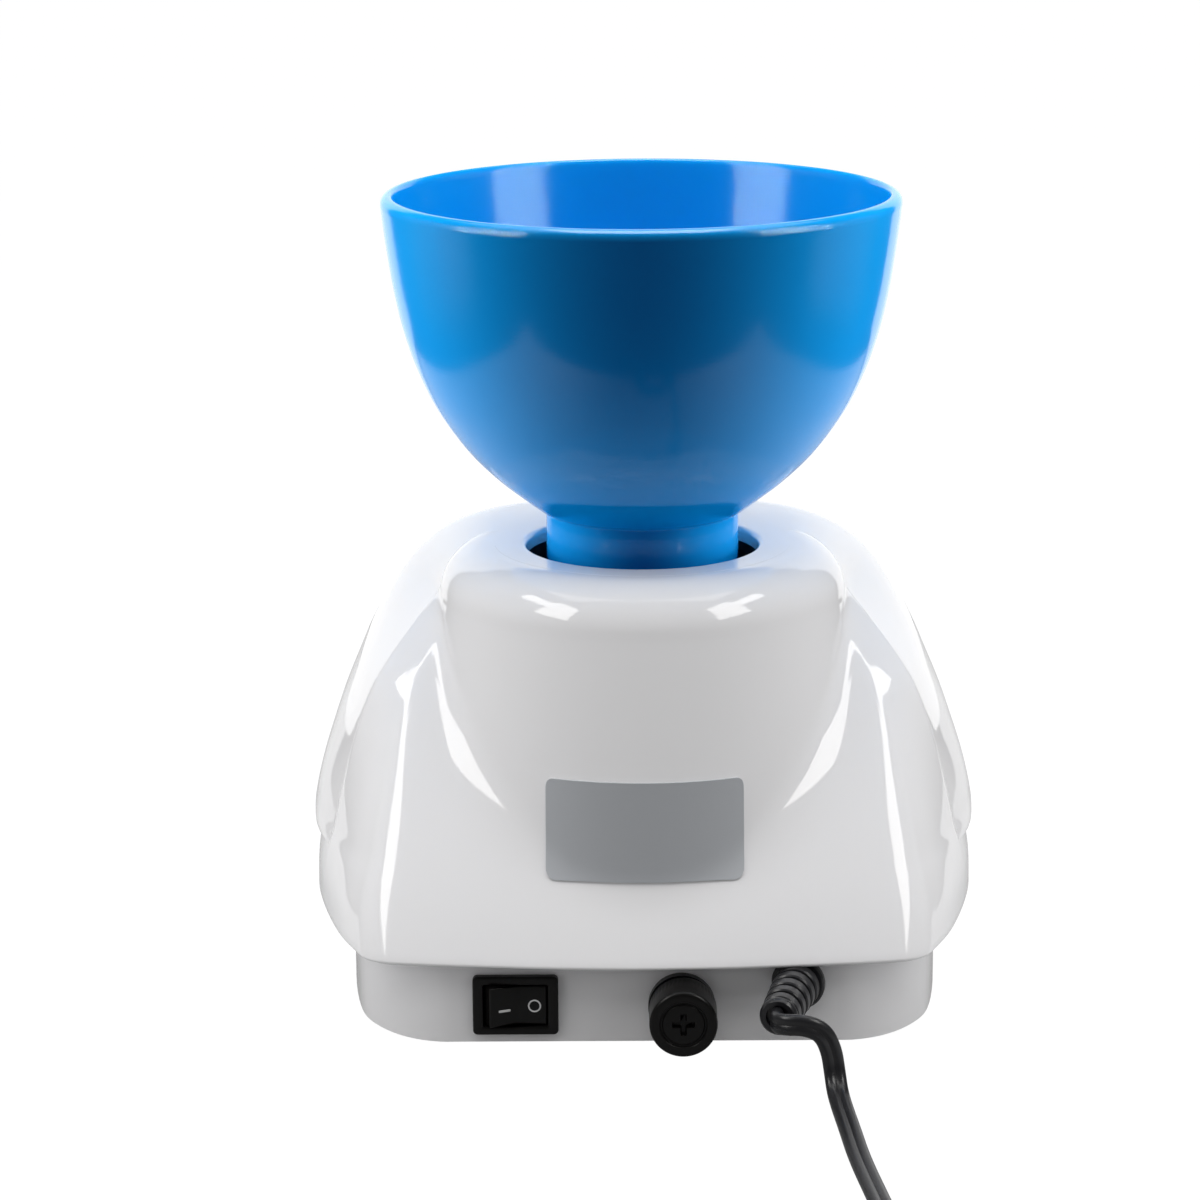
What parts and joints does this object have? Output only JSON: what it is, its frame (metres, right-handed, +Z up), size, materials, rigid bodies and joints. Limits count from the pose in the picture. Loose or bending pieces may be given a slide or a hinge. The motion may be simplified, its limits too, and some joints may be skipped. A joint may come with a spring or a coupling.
{
  "type": "dental impression mixer",
  "caption": "Bench mixer for dental impression material: flexible blue bowl turned by a belt-driven spindle in a domed white housing, with rocker switch, fuse and cord.",
  "frame": {"origin": "middle of the footprint on the bench, under the housing; the spindle axis stands 10 mm towards +Y from it", "axes": "+Z up along the spindle, +Y out of the back with the switch, fuse and cord, -Y towards the operator"},
  "size_m": [0.1738, 0.371, 0.2048],
  "materials": {
    "white_shell": "injection-moulded ABS, glossy white",
    "rubber_feet": "moulded rubber, matt black",
    "zinc_steel": "zinc-plated steel",
    "well_black": "black plastic, semi-gloss",
    "sheet_aluminium": "satin aluminium",
    "bearing_steel": "ground steel",
    "grey_nylon": "moulded nylon, grey",
    "bowl_blue": "flexible moulded bowl, glossy blue",
    "insert_white": "moulded nylon, white",
    "motor_steel": "drawn steel can, zinc plated",
    "black_plastic": "moulded plastic, black, fine grain",
    "belt_rubber": "flat rubber belt",
    "panel_grey": "moulded plastic, mid grey",
    "display_tint": "smoked clear window",
    "circuit_board": "green laminate",
    "key_blue": "moulded key, blue",
    "transformer_steel": "laminated core, varnished",
    "capacitor_sleeve": "shrink sleeve",
    "terminal_brass": "nickel-free brass",
    "fuse_glass": "glass cartridge",
    "plate_silver": "satin silver foil plate, blank",
    "cord_rubber": "flexible PVC, black, satin",
    "tie_black": "coated wire tie",
    "wire_pvc": "PVC insulation"
  },
  "bodies": {
    "machine": {"base_tray": "white_shell", "rear_housing": "white_shell", "front_hood": "white_shell", "top_deck": "white_shell", "foot_pads": "rubber_feet", "foot_screws": "zinc_steel", "base_screws": "zinc_steel", "chassis_posts": "zinc_steel", "chassis_screws": "zinc_steel", "hood_screws": "zinc_steel", "housing_bolts": "zinc_steel", "motor_screws": "zinc_steel", "board_screws": "zinc_steel", "power_board_screws": "zinc_steel", "well_cup": "well_black", "chassis_plate": "sheet_aluminium", "bearing_housing": "sheet_aluminium", "ball_bearings": "bearing_steel", "motor_can": "motor_steel", "motor_end_cap": "black_plastic", "display_module": "black_plastic", "tact_switches": "black_plastic", "switch_frame": "black_plastic", "fuse_holder": "black_plastic", "fuse_nut": "black_plastic", "drive_belt": "belt_rubber", "control_bezel": "panel_grey", "display_window": "display_tint", "control_board": "circuit_board", "power_board": "circuit_board", "transformer": "transformer_steel", "board_capacitors": "capacitor_sleeve", "switch_terminals": "terminal_brass", "plug_blades": "terminal_brass", "rating_plate": "plate_silver", "strain_relief": "cord_rubber", "power_cord": "cord_rubber", "cord_coil": "cord_rubber", "cord_tail": "cord_rubber", "plug_body": "cord_rubber", "cord_tie": "tie_black", "mains_wiring": "wire_pvc"},
    "spindle": {"spindle_shaft": "bearing_steel", "drive_hub": "grey_nylon", "hub_screw": "zinc_steel", "spindle_pulley": "grey_nylon", "spindle_circlip": "bearing_steel"},
    "bowl": {"mixing_bowl": "bowl_blue", "bowl_insert": "insert_white"},
    "rotor": {"motor_shaft": "bearing_steel", "motor_pulley": "grey_nylon"},
    "rocker": {"switch_rocker": "black_plastic"},
    "fuse_carrier": {"fuse_cartridge": "fuse_glass"},
    "fuse_knob": {"fuse_cap": "black_plastic"},
    "key_start": {"key_start": "key_blue"},
    "key_time": {"key_time": "key_blue"},
    "key_speed_down": {"key_speed_down": "key_blue"},
    "key_speed_up": {"key_speed_up": "key_blue"}
  },
  "joints": [
    {"name": "spindle_spin", "type": "hinge", "parent": "machine", "child": "spindle", "pos_m": [0, 0.01, 0.08], "axis": [0, 0, 1], "continuous": true},
    {"name": "motor_spin", "type": "hinge", "parent": "machine", "child": "rotor", "pos_m": [0, -0.039, 0.08], "axis": [0, 0, 1], "continuous": true},
    {"name": "bowl_lift", "type": "slide", "parent": "spindle", "child": "bowl", "axis": [0, 0, 1], "range_m": [0, 0.06]},
    {"name": "power_rocker", "type": "hinge", "parent": "machine", "child": "rocker", "pos_m": [0.0319, 0.0715, 0.0139], "axis": [0, 0, 1], "range_deg": [-20, 0]},
    {"name": "fuse_draw", "type": "slide", "parent": "machine", "child": "fuse_carrier", "axis": [0, 1, 0], "range_m": [0, 0.035]},
    {"name": "fuse_turn", "type": "hinge", "parent": "fuse_carrier", "child": "fuse_knob", "pos_m": [-0.0088, 0.08, 0.0135], "axis": [0, 1, 0], "range_deg": [0, 45]},
    {"name": "start_press", "type": "slide", "parent": "machine", "child": "key_start", "axis": [0, 0.8988, -0.4384], "range_m": [0, 0.0008], "stiffness_N_per_m": 1200, "springref_m": -0.0004},
    {"name": "time_press", "type": "slide", "parent": "machine", "child": "key_time", "axis": [0, 0.8988, -0.4384], "range_m": [0, 0.0008], "stiffness_N_per_m": 1200, "springref_m": -0.0004},
    {"name": "speed_down_press", "type": "slide", "parent": "machine", "child": "key_speed_down", "axis": [0, 0.8988, -0.4384], "range_m": [0, 0.0008], "stiffness_N_per_m": 1200, "springref_m": -0.0004},
    {"name": "speed_up_press", "type": "slide", "parent": "machine", "child": "key_speed_up", "axis": [0, 0.8988, -0.4384], "range_m": [0, 0.0008], "stiffness_N_per_m": 1200, "springref_m": -0.0004}
  ],
  "couplings": [
    {"joint": "motor_spin", "follows": "spindle_spin", "ratio": 3}
  ]
}
